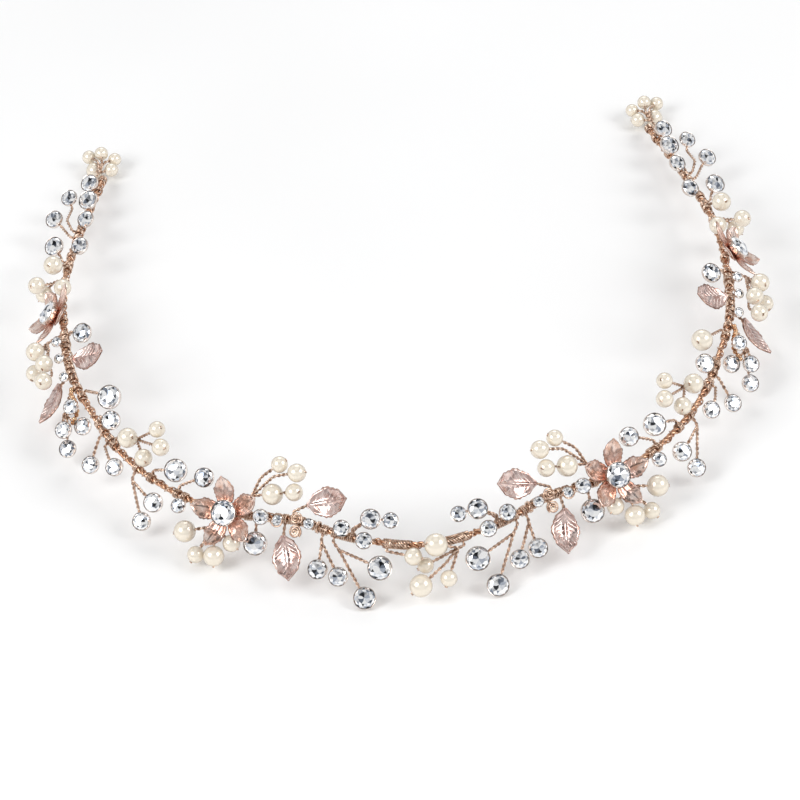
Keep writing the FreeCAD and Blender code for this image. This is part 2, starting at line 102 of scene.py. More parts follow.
# %% how a jewel is charted
def gem(along, out, up, wide, root, via=(), post=False):
    """A round crystal: place beside the wire, width, and where its stem leaves the wire."""
    return {"pearl": False, "along": along, "out": out, "up": up, "wide": wide,
            "root": root, "via": via, "post": post, "direct": False}


def bead(along, out, up, wide, root, via=(), direct=False):
    """A drilled pearl, placed in the same way."""
    return {"pearl": True, "along": along, "out": out, "up": up, "wide": wide,
            "root": root, "via": via, "post": False, "direct": direct}


print("charted for each jewel:", ", ".join(gem(0, 0, 0, 1, 0)))

# %% [markdown]
# A sprig is one stem, or a trunk that forks into several, with a jewel at each end. The sprigs
# are grouped by the node that their metal belongs to, so that one loop can build them all.

# %% chart of the sprigs
# Sprigs of the half vine, by the sub-part of their metal and of their jewels.
# fork is where a shared trunk splits, and trunk is what it passes on its way there.
SPRIGS = [
    {"metal": "front_sprig_wires", "jewels": "front_sprig_crystals", "rows": [
        gem(12.6, -1.6, 4.7, 4.1, 16.6),
        gem(8.0, -2.0, 4.8, 3.2, 16.6, via=[(13.8, -4.2, 2.6), (10.0, -4.4, 2.7)], post=True)]},
    {"metal": "front_sprig_wires", "jewels": "front_sprig_crystals", "rows": [
        gem(12.9, 2.3, 1.8, 3.4, 13.0, post=True)]},
    {"metal": "front_sprig_wires", "jewels": "front_sprig_crystals", "rows": [
        gem(18.4, 0.9, 2.7, 3.4, 18.4, post=True)]},
    {"metal": "front_sprig_wires", "jewels": "front_sprig_crystals", "fork": (18.6, 2.5, -2.1),
     "rows": [gem(9.2, 4.4, -3.3, 4.9, 20.4), gem(11.4, 8.2, -9.0, 4.5, 20.4)]},
    {"metal": "front_sprig_wires", "jewels": "front_sprig_crystals", "fork": (22.8, 2.2, -1.8),
     "rows": [gem(17.5, 6.3, -6.2, 3.9, 23.0), gem(22.2, 6.2, -5.9, 4.0, 23.0)]},
    {"metal": "front_spray_wires", "jewels": "front_spray_crystals", "rows": [
        gem(25.9, 1.8, 1.7, 2.2, 26.2, post=True)]},
    {"metal": "front_spray_wires", "jewels": "front_spray_crystals", "rows": [
        gem(37.2, 2.4, 1.8, 3.2, 37.0, post=True)]},
    {"metal": "front_spray_wires", "jewels": "front_spray_crystals", "rows": [
        gem(38.2, 4.3, -4.2, 4.8, 39.3)]},
    {"metal": "front_pearl_wires", "jewels": "front_berry_pearls", "fork": (41.2, -2.2, 3.8),
     "rows": [
         bead(35.8, -1.5, 5.2, 4.7, 41.4),
         bead(35.5, -5.5, 10.4, 3.7, 41.4, via=[(39.6, -4.0, 7.6)]),
         bead(31.0, -4.6, 9.3, 4.1, 41.4, via=[(36.4, -4.0, 8.2)]),
         bead(30.8, -2.1, 5.9, 3.9, 41.4, via=[(35.6, -4.5, 3.3)])]},
    {"metal": "front_pearl_wires", "jewels": "front_drop_pearls", "fork": (48.6, 2.6, -2.2),
     "rows": [
         bead(43.8, 4.7, -4.2, 3.9, 48.8), bead(46.7, 7.3, -6.4, 4.6, 48.8),
         bead(50.7, 7.6, -7.3, 3.8, 48.8), bead(54.3, 5.4, -4.1, 4.9, 48.8)]},
    {"metal": "bend_wires", "jewels": "bend_crystals", "rows": [
        gem(57.2, 3.0, -0.1, 3.0, 57.6, post=True)]},
    {"metal": "bend_wires", "jewels": "bend_crystals", "rows": [gem(53.7, -2.6, 5.4, 4.0, 59.6)]},
    {"metal": "bend_wires", "jewels": "bend_crystals", "rows": [gem(61.3, -1.8, 4.5, 4.7, 67.6)]},
    {"metal": "bend_wires", "jewels": "bend_crystals", "fork": (71.8, 2.2, -2.0),
     "rows": [gem(64.0, 3.4, -2.6, 4.0, 72.4), gem(65.1, 6.4, -6.6, 3.8, 72.4)]},
    {"metal": "outer_berry_wires", "jewels": "outer_berry_pearls", "fork": (78.4, -3.5, 2.6),
     "rows": [
         bead(77.5, -1.1, 4.8, 4.5, 82.6, direct=True), bead(70.0, -4.7, 9.5, 3.7, 82.6),
         bead(66.7, -2.9, 7.3, 3.9, 82.6), bead(70.2, -0.4, 3.9, 4.0, 82.6)]},
    {"metal": "side_sprig_wires", "jewels": "side_sprig_crystals", "rows": [
        gem(77.9, 2.9, -1.7, 3.7, 84.8)]},
    {"metal": "side_sprig_wires", "jewels": "side_sprig_crystals", "rows": [
        gem(85.2, 5.4, -4.9, 3.7, 88.4)]},
    {"metal": "side_sprig_wires", "jewels": "side_sprig_crystals", "rows": [
        gem(86.7, -1.2, 3.9, 4.0, 91.4)]},
    {"metal": "side_sprig_wires", "jewels": "side_sprig_crystals", "fork": (101.0, 4.6, -2.8),
     "trunk": [(104.4, 2.9, -1.0)], "rows": [
         gem(99.9, 3.8, 0.6, 3.2, 106.4), gem(96.1, 2.7, -2.7, 3.7, 106.4),
         gem(97.4, 6.9, -3.1, 3.6, 106.4), gem(94.9, 7.2, -6.6, 3.7, 106.4)]},
    {"metal": "side_spray_wires", "jewels": "side_spray_crystals", "rows": [
        gem(122.4, 2.0, 2.1, 2.2, 122.2, post=True)]},
    {"metal": "side_spray_wires", "jewels": "side_spray_crystals", "rows": [
        gem(116.8, 2.1, 1.5, 2.1, 116.8, post=True)]},
    {"metal": "side_spray_wires", "jewels": "side_spray_crystals", "rows": [
        gem(110.0, 2.2, 1.4, 2.1, 110.0, post=True)]},
    {"metal": "side_spray_wires", "jewels": "side_spray_crystals", "rows": [
        gem(120.2, -4.0, 5.2, 4.2, 125.2)]},
    {"metal": "side_pearl_wires", "jewels": "side_drop_pearls", "fork": (125.8, 4.2, -0.6),
     "rows": [
         bead(121.2, 7.0, 1.0, 4.4, 127.4),
         bead(115.6, 5.6, 1.6, 4.1, 127.4, via=[(120.6, 3.9, 1.5)]),
         bead(118.6, 7.9, -2.9, 4.0, 127.4),
         bead(110.9, 6.7, 0.6, 4.0, 127.4, via=[(120.8, 4.3, -1.5), (115.2, 4.2, -1.6)])]},
    {"metal": "side_pearl_wires", "jewels": "back_drop_pearls", "rows": [
        bead(153.3, 2.6, 3.6, 4.5, 157.0)]},
    {"metal": "side_pearl_wires", "jewels": "back_drop_pearls", "fork": (149.7, 2.7, 0.6),
     "rows": [bead(146.0, 6.0, 2.6, 4.1, 151.0), bead(149.0, 4.9, -1.9, 4.1, 151.0)]},
    {"metal": "side_pearl_wires", "jewels": "back_drop_pearls", "rows": [
        bead(143.4, -0.2, 3.1, 4.1, 148.2)]},
    {"metal": "end_wires", "jewels": "end_crystals", "rows": [gem(163.6, 3.9, 3.0, 4.3, 159.2)]},
    {"metal": "end_wires", "jewels": "end_crystals", "rows": [
        gem(164.0, -2.2, 2.9, 3.9, 163.4, post=True)]},
    {"metal": "end_wires", "jewels": "end_crystals", "rows": [gem(179.2, 6.8, 2.0, 4.0, 172.6)]},
    {"metal": "end_wires", "jewels": "end_crystals", "rows": [
        gem(187.8, 4.7, 3.5, 3.7, 175.2, via=[(179.0, 3.6, 1.8)])]},
    {"metal": "end_wires", "jewels": "end_crystals", "rows": [
        gem(176.8, -1.5, 3.5, 3.8, 178.2, post=True)]},
    {"metal": "end_wires", "jewels": "end_crystals", "rows": [
        gem(188.0, 0.2, 2.9, 4.4, 188.6, post=True)]},
    {"metal": "end_wires", "jewels": "end_crystals", "rows": [
        gem(197.5, 2.0, 2.4, 4.1, 197.6, post=True)]},
    {"metal": "end_wires", "jewels": "end_pearls", "fork": (206.2, 1.6, 0.2), "rows": [
        bead(209.0, 3.4, -1.0, 4.1, 202.8),
        bead(212.6, 5.3, 0.7, 3.4, 202.8, via=[(209.2, 2.3, 1.7)]),
        bead(212.2, 2.0, 2.1, 3.4, 202.8, via=[(208.6, 1.2, 1.6)]),
        bead(208.4, -1.0, -0.3, 3.4, 202.8),
        bead(211.9, -1.3, 0.7, 3.2, 202.8, via=[(209.4, 0.9, 1.3)])]},
]
print("sprigs in each half", len(SPRIGS) + 1, "jewels", sum(len(chart["rows"]) for chart in SPRIGS) + 1)

# %% [markdown]
# One sprig of the side carries a crystal on the left and a pearl on the right, as on the real
# piece. The centre has five pearls, and isn't mirrored.

# %% chart of the mixed pair and the centre
MIXED_GEM = {"metal": "side_sprig_wires", "jewels": "side_sprig_crystals",
             "rows": [gem(91.7, -3.0, 6.4, 5.0, 102.6)]}
MIXED_BEAD = {"metal": "side_sprig_wires", "jewels": "mixed_pearl",
              "rows": [bead(91.7, -3.0, 6.4, 4.9, 102.6)]}
CENTRE = [
    {"metal": "centre_wires", "jewels": "centre_pearls", "fork": (6.2, 1.7, -1.2), "rows": [
        bead(1.7, 3.0, 1.9, 5.1, 7.6), bead(-0.7, 2.0, -4.2, 3.6, 7.6),
        bead(-1.8, 6.3, -6.2, 5.0, 7.6, via=[(3.0, 3.6, -3.2)]),
        bead(3.2, 5.7, -5.5, 3.7, 7.6)]},
    {"metal": "centre_wires", "jewels": "centre_pearls", "rows": [bead(-2.9, 3.0, -0.8, 3.9, -8.4)]},
]
print("pearls in the centre", sum(len(chart["rows"]) for chart in CENTRE))

# %% [markdown]
# Leaves and flowers are stamped from sheet, and the rosettes are wire coiled flat. Beads as
# small as seeds are strung beside the trunk of one sprig. A few loose turns of wire cover the
# bare rope between sprigs.

# %% chart of leaves, flowers, rosettes and seed beads
# Leaves: sub-part, root on the wire, base and tip as (along, out, up)
LEAVES = [
    {"name": "front_leaves", "root": 30.4, "base": (27.2, -1.4, 3.8), "tip": (18.6, -2.6, 8.0)},
    {"name": "front_leaves", "root": 32.3, "base": (31.8, 2.6, -2.6), "tip": (28.2, 8.3, -8.6)},
    {"name": "side_leaves", "root": 114.2, "base": (113.0, -1.0, 3.2), "tip": (107.0, -6.6, 7.4)},
    {"name": "side_leaves", "root": 112.2, "base": (112.4, 2.6, -2.6), "tip": (107.6, 8.6, -8.4)},
]
FLOWERS = [("front_flower", 45.6), ("side_flower", 133.4)]

# Rosettes of coiled wire: place, ring radius, root
ROSETTES = [
    {"along": 28.9, "out": 1.5, "up": 1.9, "ring": 0.85, "root": 28.5},
    {"along": 28.8, "out": 2.9, "up": -0.7, "ring": 0.95, "root": 28.5},
]
ROSETTE_GEM = gem(33.1, 2.4, 1.4, 2.2, 34.2, post=True)
# Tiny beads strung beside the trunk of the side sprig, from its root to below its fork
SEED_STRING = [
    (106.2, 1.5, 0.3), (104.0, 2.1, 0.5), (101.5, 2.0, 0.2),
    (99.3, 2.5, -1.2), (97.9, 4.3, -2.4),
]
SEED_STEP = 0.95
# Two loose turns of wire on the rope: their node, place, length and distance off the rope
LOOSE_TURNS = [
    ("front_spray_wires", 24.6, 0.7, 0.38),
    ("side_spray_wires", 119.5, 0.6, 0.34),
    ("side_spray_wires", 123.7, 0.6, 0.34),
]
print("in each half: leaves", len(LEAVES), "flowers", len(FLOWERS), "rosettes", len(ROSETTES))

# %% [markdown]
# The route of the main wire. It is straight between corners, and each corner is an arc that
# meets both runs smoothly. A spline through the corners would swing wide of them, while arcs stay
# where the CAD tube is. The path is then walked by length, so that places can be found along it.


# %% route of the main wire
def rounded(points, most, pieces):
    """Points along straight runs joined by tangent arcs."""
    path = [points[0]]
    for before, corner, after in zip(points, points[1:], points[2:]):
        into = (corner - before).normalized()
        out = (after - corner).normalized()
        turn = into.angle(out)
        if turn < 0.01:
            path.append(corner)
            continue
        cut = min(most, 0.45 * min((corner - before).length, (after - corner).length))
        radius = cut / math.tan(turn / 2)
        inward = (out - into).normalized()
        centre = corner + inward * (radius / math.cos(turn / 2))
        arm = corner - into * cut - centre
        axis = into.cross(out)
        for k in range(pieces + 1):
            path.append(centre + Matrix.Rotation(turn * k / pieces, 3, axis) @ arm)
    return path + [points[-1]]


def lengths(path):
    """Length from the start to each point of a path."""
    total = [0.0]
    for low, high in zip(path, path[1:]):
        total.append(total[-1] + (high - low).length)
    return total


def even(path, step):
    """The same path with points at even steps."""
    marks = lengths(path)
    count = max(2, int(marks[-1] / step) + 1)
    spots = []
    k = 0
    for n in range(count):
        wanted = marks[-1] * n / (count - 1)
        while k < len(path) - 2 and marks[k + 1] < wanted:
            k += 1
        share = (wanted - marks[k]) / max(marks[k + 1] - marks[k], 1e-9)
        spots.append(path[k].lerp(path[k + 1], share))
    return spots


right_route = [Vector((x, y - MIDDLE, z + LIFT)) for x, y, z in ROUTE]
route = rounded([Vector((-p.x, p.y, p.z)) for p in reversed(right_route)] + right_route, WIRE_BEND, 12)
route_marks = lengths(route)
print("wire length", round(route_marks[-1], 1), "mm")

# %% [markdown]
# Everything else hangs on the wire, so a place is found from it. The four directions at a spot
# are the slope of the wire, its level heading, the way out from the head, and up. Stones are
# turned partly to the front, as a maker would bend them towards the viewer.


# %% places beside the wire
def on_wire(along):
    """Point, slope, level heading and the level direction away from the head."""
    wanted = min(max(route_marks[-1] / 2 + along, 0.0), route_marks[-1])
    k = max(1, min(len(route) - 1, sum(mark < wanted for mark in route_marks)))
    slope = (route[k] - route[k - 1]).normalized()
    level = Vector((slope.x, slope.y, 0)).normalized()
    point = route[k - 1] + slope * (route_marks[-1] / 2 + along - route_marks[k - 1])
    return point, slope, level, Vector((level.y, -level.x, 0))


def place(along, out, up):
    """A point beside the wire."""
    point, _, _, away = on_wire(along)
    return point + away * out + UP * up


def spot_of(row):
    """The centre of a charted jewel or rosette."""
    return place(row["along"], row["out"], row["up"])


def band_face(along):
    """The direction that flowers and leaves look."""
    return on_wire(along)[3] * math.cos(BAND_TILT) + UP * math.sin(BAND_TILT)


# Shares of the band's direction and of the front in the direction of a stone
FACE_BAND = 0.45
FACE_FRONT = 0.55


def stone_facing(along):
    """The direction that stones look."""
    front = Vector((0, -math.cos(BAND_TILT), math.sin(BAND_TILT)))
    return (band_face(along) * FACE_BAND + front * FACE_FRONT).normalized()


def seat(centre, facing, ahead, size=1.0):
    """Matrix in metres that seats a piece drawn about the origin facing +Z."""
    x_axis = (ahead - facing * ahead.dot(facing)).normalized()
    y_axis = facing.cross(x_axis)
    turned_to = Matrix((x_axis, y_axis, facing)).transposed().to_4x4()
    return Matrix.Translation(centre * MM) @ turned_to @ Matrix.Scale(size, 4)


print("end of the wire", [round(v, 1) for v in on_wire(route_marks[-1] / 2)[0]])

# %% [markdown]
# The camera stands where the picture was taken from: 90 cm away, 39 degrees up, a little to the
# left and rolled, so that the right end is higher in the picture. It could be aimed with a
# constraint. Here its three directions are worked out, because they show what each angle does.

# %% camera
YAW = math.radians(-1.8)
RISE = math.radians(39)
ROLL = math.radians(4.4)
FAR = 0.9
SENSOR = 36
PICTURE_PIXELS = 800
FOCAL_PIXELS = 4230
# Where the front of the wire lies in the picture, from its middle
AIM_PIXELS = (-27.2, 145)
front_centre = Vector((0, -MIDDLE * MM, LIFT * MM))
forward = Vector((-math.sin(YAW) * math.cos(RISE), math.cos(YAW) * math.cos(RISE), -math.sin(RISE)))
right = Vector((math.cos(YAW), math.sin(YAW), 0))
above = right.cross(forward)
rolled_right = right * math.cos(ROLL) - above * math.sin(ROLL)
rolled_up = right * math.sin(ROLL) + above * math.cos(ROLL)
sight = (forward * FOCAL_PIXELS + rolled_right * AIM_PIXELS[0] + rolled_up * AIM_PIXELS[1]).normalized()
side = (rolled_right - sight * rolled_right.dot(sight)).normalized()
bpy.ops.object.camera_add()
camera = bpy.context.object
camera.matrix_world = (Matrix.Translation(front_centre - forward * FAR)
                       @ Matrix((side, side.cross(sight), -sight)).transposed().to_4x4())
camera.data.sensor_width = SENSOR
camera.data.lens = SENSOR * FOCAL_PIXELS / PICTURE_PIXELS
camera.data.clip_end = 20
bpy.context.scene.camera = camera
print("camera", [round(v, 3) for v in camera.location])

# %% [markdown]
# Materials are small node trees. Most of them need the same few steps, so those are helpers:
# a colour written as in a picture editor, a fresh material, and a node with its links.


# %% material helpers
def linear(code):
    """An sRGB hex colour as linear red, green, blue and alpha."""
    parts = [int(code[k:k + 2], 16) / 255 for k in (1, 3, 5)]
    return [v / 12.92 if v <= 0.04045 else ((v + 0.055) / 1.055) ** 2.4 for v in parts] + [1.0]


def new_material(name):
    """A fresh material and its node tree."""
    material = bpy.data.materials.new(name)
    material.use_nodes = True
    return material, material.node_tree


def add(tree, kind, links=(), **settings):
    """A node with its input values, attributes and links."""
    fresh = tree.nodes.new(kind)
    for key, value in settings.items():
        if key in fresh.inputs:
            fresh.inputs[key].default_value = value
        else:
            setattr(fresh, key, value)
    for source, socket, target in links:
        tree.links.new(source.outputs[socket], fresh.inputs[target])
    return fresh


print("white is", linear("#ffffff"), "and a middle grey", round(linear("#808080")[0], 3))

# %% [markdown]
# Plated wire and sheet are never of one even tone. A soft noise mixes a darker and a lighter
# colour and raises the surface by a few hundredths of a millimetre. A picture of real metal
# would do the same, but a noise has no seams and needs no unwrapped mesh.

# %% uneven metal
# Where the darker blots end and the lighter ones begin, in the range of the noise
BLOT_DARK = 0.35
BLOT_LIGHT = 0.65
BUMP_STRENGTH = 0.15
# 0.04 mm
BUMP_DEPTH = 0.00004


def patchy(tree, shader, socket, dark, light, per_mm):
    """Two colours mixed by a soft noise of so many blots a millimetre."""
    spot = add(tree, "ShaderNodeTexCoord")
    noise = add(tree, "ShaderNodeTexNoise", [(spot, "Object", "Vector")],
                Scale=per_mm * 1000, Detail=2.0)
    ramp = add(tree, "ShaderNodeValToRGB", [(noise, "Fac", "Fac")])
    ramp.color_ramp.elements[0].position = BLOT_DARK
    ramp.color_ramp.elements[1].position = BLOT_LIGHT
    ramp.color_ramp.elements[0].color = linear(dark)
    ramp.color_ramp.elements[1].color = linear(light)
    tree.links.new(ramp.outputs["Color"], shader.inputs[socket])
    return noise


def metal(name, dark, light, rough, per_mm):
    """A polished plated metal with a slightly uneven tone and surface."""
    material, tree = new_material(name)
    shader = tree.nodes["Principled BSDF"]
    shader.inputs["Metallic"].default_value = 1.0
    shader.inputs["Roughness"].default_value = rough
    noise = patchy(tree, shader, "Base Color", dark, light, per_mm)
    bump = add(tree, "ShaderNodeBump", [(noise, "Fac", "Height")],
               Strength=BUMP_STRENGTH, Distance=BUMP_DEPTH)
    tree.links.new(bump.outputs["Normal"], shader.inputs["Normal"])
    return material


# Rose-gold plated copper wire of the rope, which looks brownish between its plies
ROPE = metal("rose gold rope wire", "#b08063", "#eec6a8", 0.25, 0.9)
# The thinner wire of the stems and coils, a little paler and pinker
THIN_WIRE = metal("rose gold stem wire", "#9c7a64", "#f0d8c5", 0.26, 1.3)
# Tiny gold seed beads of the side sprig, warmer than the wire
SEED_GOLD = metal("gold seed bead", "#a8744f", "#eccaa6", 0.2, 0.8)
# Thin cups of the stones, a paler pinkish silver that lets the stone look larger
CUP_PLATE = metal("pale rose cup", "#cbbcb2", "#f5ede7", 0.22, 0.7)
print("materials so far", len(bpy.data.materials))

# %% [markdown]
# Leaves and petals are stamped from thin sheet and plated in rose gold. Their rims look darker
# than the plate. The raised veins catch the light, and their colour is also a painted highlight,
# paler than the plate. A petal is coppery at the heart of the flower and pale at its tip. That
# change follows a colour stored in the mesh, which stays with the petal wherever it is copied.

# %% sheet metals
# Satin plate of the leaves
LEAF_PLATE = metal("stamped rose gold leaf", "#c09c92", "#f0dcd6", 0.2, 0.5)
# Darker, rolled edge of leaves and petals, which draws their outline
LEAF_EDGE = metal("copper leaf edge", "#7e5a4c", "#c2a090", 0.3, 0.8)
# Raised veins that catch the light as fine bright lines, their pale colour a painted highlight
VEIN_PAINTED_HIGHLIGHT = metal("leaf vein with painted highlight", "#e6cdc4", "#fdf3ef", 0.14, 0.8)
# Pale plate of the petals, which turns to copper where the tone in the mesh is low
PETAL_PLATE = metal("stamped rose gold petal", "#d8b09c", "#f7e6dd", 0.22, 0.5)
petal_tree = PETAL_PLATE.node_tree
petal_tone = add(petal_tree, "ShaderNodeVertexColor", layer_name="tone")
petal_warmth = add(petal_tree, "ShaderNodeMix", [(petal_tone, "Color", "Factor")], data_type="RGBA")
petal_warmth.inputs["A"].default_value = linear("#b4694c")
petal_tree.links.new(petal_tree.nodes["Color Ramp"].outputs["Color"], petal_warmth.inputs["B"])
petal_shader = petal_tree.nodes["Principled BSDF"]
petal_tree.links.new(petal_warmth.outputs["Result"], petal_shader.inputs["Base Color"])
print("materials so far", len(bpy.data.materials))

# %% [markdown]
# The stones are cut glass with a silver foil behind it. The eye sees flashes of white, grey and
# black, not the glass. Real refraction is slow and shows little on so small a stone, so each
# facet has its own painted reflection in the mesh, a white, grey or black tint, under a mirror
# and a clear coat.

# %% crystal
crystal_look, tree = new_material("foil backed crystal")
crystal_shader = tree.nodes["Principled BSDF"]
# The colour of each facet is a painted reflection, white, grey or nearly black
painted_facet_reflection = add(tree, "ShaderNodeVertexColor", layer_name="facet")
tree.links.new(painted_facet_reflection.outputs["Color"], crystal_shader.inputs["Base Color"])
crystal_shader.inputs["Metallic"].default_value = 0.85
crystal_shader.inputs["Roughness"].default_value = 0.05
crystal_shader.inputs["Coat Weight"].default_value = 0.6
crystal_shader.inputs["Coat Roughness"].default_value = 0.02
print("crystal nodes", len(tree.nodes))

# %% [markdown]
# The pearls are round beads with an ivory coating. A real one looks warm in the middle and darker
# at the rim, with a sharp highlight. The angle of the surface mixes the warm ivory with a painted
# shade at the rim for that, and a clear coat gives the highlight.

# %% pearl coating
pearl_skin, tree = new_material("ivory pearl coating")
pearl_shader = tree.nodes["Principled BSDF"]
rim_facing = add(tree, "ShaderNodeLayerWeight", Blend=0.32)
# Painted shade: this ramp darkens the ivory towards the rim of each pearl
body = add(tree, "ShaderNodeValToRGB", [(rim_facing, "Facing", "Fac")])
body.color_ramp.elements[0].color = linear("#f4ecdf")
body.color_ramp.elements[1].color = linear("#9d907e")
body.color_ramp.elements[0].position = 0.25
body.color_ramp.elements[1].position = 0.95
tree.links.new(body.outputs["Color"], pearl_shader.inputs["Base Color"])
pearl_shader.inputs["Metallic"].default_value = 0.3
pearl_shader.inputs["Roughness"].default_value = 0.22
pearl_shader.inputs["Coat Weight"].default_value = 1.0
pearl_shader.inputs["Coat Roughness"].default_value = 0.04
pearl_shader.inputs["Coat Tint"].default_value = linear("#fffdf9")
print("pearl nodes", len(tree.nodes))

# %% [markdown]
# The floor is pale and matt. A glossy floor would mirror the vine and lose its soft shadow.

# %% floor
floor_paint, tree = new_material("pale studio floor")
floor_shader = tree.nodes["Principled BSDF"]
patchy(tree, floor_shader, "Base Color", "#f4f4f4", "#fafafa", 0.005)
floor_shader.inputs["Roughness"].default_value = 0.7
floor_shader.inputs["Specular IOR Level"].default_value = 0.2
print("materials", len(bpy.data.materials))

# %% [markdown]
# Pieces that repeat are modelled once, about the origin, and then copied to their places.
# Stones and cups are round, so they are turned: a disc is extruded and resized from ring to
# ring, like work on a lathe. A spun profile would do as well, but a stone needs each ring
# turned by half a facet, and that is easy to do between extrusions.


# %% turning
def fresh_selection():
    """Nothing selected, in object mode."""
    bpy.ops.object.select_all(action="DESELECT")


def turned(name, profile, sides, half_turns=False):
    """A turned solid: a disc, extruded and resized from ring to ring, in millimetres."""
    fresh_selection()
    wide, high = profile[0]
    bpy.ops.mesh.primitive_circle_add(vertices=sides, radius=wide * MM, fill_type="NGON",
                                      location=(0, 0, high * MM))
    bpy.ops.object.transform_apply(location=True)
    piece = bpy.context.object
    piece.name = name
    bpy.ops.object.mode_set(mode="EDIT")
    bpy.ops.mesh.select_all(action="SELECT")
    for (wide, high), (next_wide, next_high) in zip(profile, profile[1:]):
        step_up = {"value": (0, 0, (next_high - high) * MM)}
        bpy.ops.mesh.extrude_region_move(TRANSFORM_OT_translate=step_up)
        share = next_wide / wide
        bpy.ops.transform.resize(value=(share, share, 1), center_override=(0, 0, next_high * MM))
        if half_turns:
            bpy.ops.transform.rotate(value=math.pi / sides, orient_axis="Z",
                                     center_override=(0, 0, 0))
    if half_turns:
        bpy.ops.mesh.poke(offset=0.05 * MM)
    bpy.ops.mesh.select_all(action="SELECT")
    if half_turns:
        bpy.ops.mesh.quads_convert_to_tris()
    bpy.ops.mesh.normals_make_consistent(inside=False)
    bpy.ops.object.mode_set(mode="OBJECT")
    return piece


print("a disc extruded and resized ring by ring makes stones and cups")

# %% [markdown]
# The stone has a flat top, three rows of facets above its girdle and a blunt point below. The
# cup is a thin bowl that comes up to the girdle, with its inside drawn as the last rings. The
# masters suit a stone or pearl 4 mm wide, and each copy is scaled to its charted width.

# %% stone, cup and pearl
MASTER_R = 2.0
# Rings as (radius, height)
STONE_RINGS = [
    (0.3, -1.16), (1.1, -0.62), (2.03, -0.1), (2.03, 0.08), (1.66, 0.42), (1.16, 0.68), (0.55, 0.74),
]
CUP_RINGS = [
    (1.0, -1.58), (1.7, -1.2), (2.2, -0.6), (2.2, 0.1), (2.16, 0.16), (2.09, 0.13),
    (2.08, -0.12), (0.36, -1.28),
]
stone_master = turned("stone_master", STONE_RINGS, 12, True)
stone_master.data.materials.append(crystal_look)
for face in stone_master.data.polygons:
    face.use_smooth = False

cup_master = turned("cup_master", CUP_RINGS, 24)
cup_master.data.materials.append(CUP_PLATE)

fresh_selection()
bpy.ops.mesh.primitive_uv_sphere_add(segments=28, ring_count=16, radius=MASTER_R * MM)
pearl_master = bpy.context.object
pearl_master.data.materials.append(pearl_skin)
bpy.ops.object.shade_smooth()
fresh_selection()
cup_master.select_set(True)
bpy.context.view_layer.objects.active = cup_master
bpy.ops.object.shade_smooth_by_angle(angle=math.radians(40))
print("facets of a stone", len(stone_master.data.polygons))

# %% [markdown]
# A leaf or petal is stamped from sheet: a grid is shaped column by column and row by row, then
# thickened. Sculpting would look livelier, but each number of a grid can be checked against the
# outline in the CAD source. The stations give the half width along the sheet, and the bow is
# the radius that it is bent to, both along and across.


# %% stamping
SHEET_THICK = 0.3


def curve_value(stations, spot):
    """Value between two stations: half of the change is straight, half eased in and out."""
    for (low, first), (high, last) in zip(stations, stations[1:]):
        if spot <= high:
            share = (spot - low) / (high - low)
            return first + (last - first) * (share * share * (3 - 2 * share) * 0.5 + share * 0.5)
    return stations[-1][1]


def scallop(step):
    """How the half width of a sheet swells and shrinks along its wavy edge."""
    return 1 + 0.05 * math.sin(step * math.pi / 1.5)


def bow(sheet, away):
    """How far a bent sheet rises at a distance from its lowest line."""
    return away ** 2 / (2 * sheet["bow_r"])


def pressed(name, sheet, columns, rows, vein, plate):
    """A stamped sheet: a grid shaped column by column and row by row, then thickened."""
    long = sheet["long"]
    fresh_selection()
    bpy.ops.mesh.primitive_grid_add(x_subdivisions=columns, y_subdivisions=rows, size=2 * MM)
    piece = bpy.context.object
    piece.name = name
    spots = [[round((v.co.x / MM + 1) / 2 * columns), round((v.co.y / MM + 1) / 2 * rows)]
             for v in piece.data.vertices]

    def pick(test):
        """Select the grid points that pass a test of column and row."""
        bpy.ops.object.mode_set(mode="EDIT")
        bpy.ops.mesh.select_all(action="DESELECT")
        bpy.ops.object.mode_set(mode="OBJECT")
        for vertex, (column, row) in zip(piece.data.vertices, spots):
            vertex.select = test(column, row)
        bpy.ops.object.mode_set(mode="EDIT")

    bpy.ops.object.mode_set(mode="EDIT")
    bpy.ops.mesh.select_mode(type="VERT")
    bpy.ops.transform.translate(value=(MM, 0, 0))
    bpy.ops.transform.resize(value=(long / 2, 1, 1), center_override=(0, 0, 0))
    for k in range(columns + 1):
        wide = curve_value(sheet["stations"], k / columns) * scallop(k)
        pick(lambda column, row, k=k: column == k)
        bpy.ops.transform.resize(value=(1, max(wide, 0.06), 1), center_override=(0, 0, 0))
        bpy.ops.transform.translate(value=(0, 0, bow(sheet, long * k / columns - sheet["lowest"]) * MM))
    middle = rows / 2
    for k in range(rows + 1):
        across = abs(k - middle) / middle
        lift = bow(sheet, across * sheet["half"]) + (sheet["rib"] if across == 0 else 0)
        pick(lambda column, row, k=k: row == k)
        bpy.ops.transform.translate(value=(0, 0, lift * MM))
    # Slanting folds: every third column, earlier towards the middle
    pick(lambda column, row: (column - round(0.8 * abs(row - middle))) % 3 == 0 and 0 < column < columns)
    bpy.ops.transform.translate(value=(0, 0, vein * MM))
    bpy.ops.object.mode_set(mode="OBJECT")
    thick = piece.modifiers.new("sheet", "SOLIDIFY")
    thick.thickness = SHEET_THICK * MM
    thick.offset = 0
    bpy.ops.object.modifier_apply(modifier="sheet")
    round_off = piece.modifiers.new("round", "SUBSURF")
    round_off.levels = 1
    bpy.ops.object.modifier_apply(modifier="round")
    bpy.ops.object.shade_smooth()
    piece.data.materials.append(plate)
    # A tone from 0 near the foot to 1 near the tip
    tones = piece.data.color_attributes.new("tone", "FLOAT_COLOR", "POINT")
    for vertex, tone in zip(piece.data.vertices, tones.data):
        share = min(1.0, max(0.0, vertex.co.x / MM / long * 1.5 - 0.1))
        tone.color = (share, share, share, 1.0)
    return piece


print("sheets are", SHEET_THICK, "mm thick")

